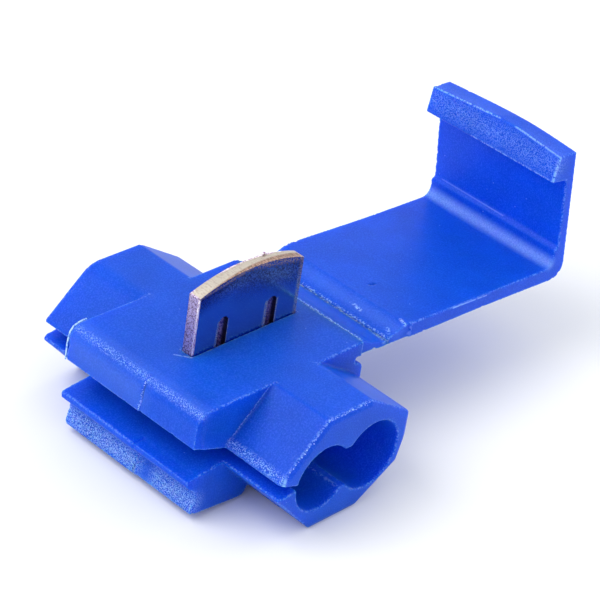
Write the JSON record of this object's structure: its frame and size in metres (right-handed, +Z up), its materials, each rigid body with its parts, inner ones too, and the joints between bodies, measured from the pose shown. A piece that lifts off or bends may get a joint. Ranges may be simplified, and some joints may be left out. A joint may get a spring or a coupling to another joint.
{
  "type": "run and tap wire splice connector",
  "caption": "Run and tap wire splice with a figure-eight wire tube, a side slit, a hinged snap cover and a raised slotted contact blade.",
  "frame": {"origin": "on the flat underside of the tube, at the middle of the housing's length, under the contact blade", "axes": "+X across the wires towards the hinge and cover, +Y along the wires, +Z up out of the top plate"},
  "size_m": [0.0347, 0.0214, 0.0165],
  "materials": {
    "blue_plastic": "moulded blue polypropylene, satin, with fine scuffs and worn edges",
    "tinned_brass": "tin-plated brass sheet, mirror-like faces, sheared top edge showing cream and copper tones"
  },
  "bodies": {
    "housing": {"housing": "blue_plastic", "hinge_web": "blue_plastic"},
    "cover": {"cover": "blue_plastic"},
    "contact": {"contact": "tinned_brass"}
  },
  "joints": [
    {"name": "cover_hinge", "type": "hinge", "parent": "housing", "child": "cover", "pos_m": [0.00847, 0, 0.00799], "axis": [0, -1, 0], "range_deg": [0, 183], "deforming": ["hinge_web"]},
    {"name": "contact_press", "type": "slide", "parent": "housing", "child": "contact", "axis": [0, 0, -1], "range_m": [0, 0.0049]}
  ],
  "couplings": [
    {"joint": "contact_press", "follows": "cover_hinge", "m_per_rad": 0.0015341}
  ]
}
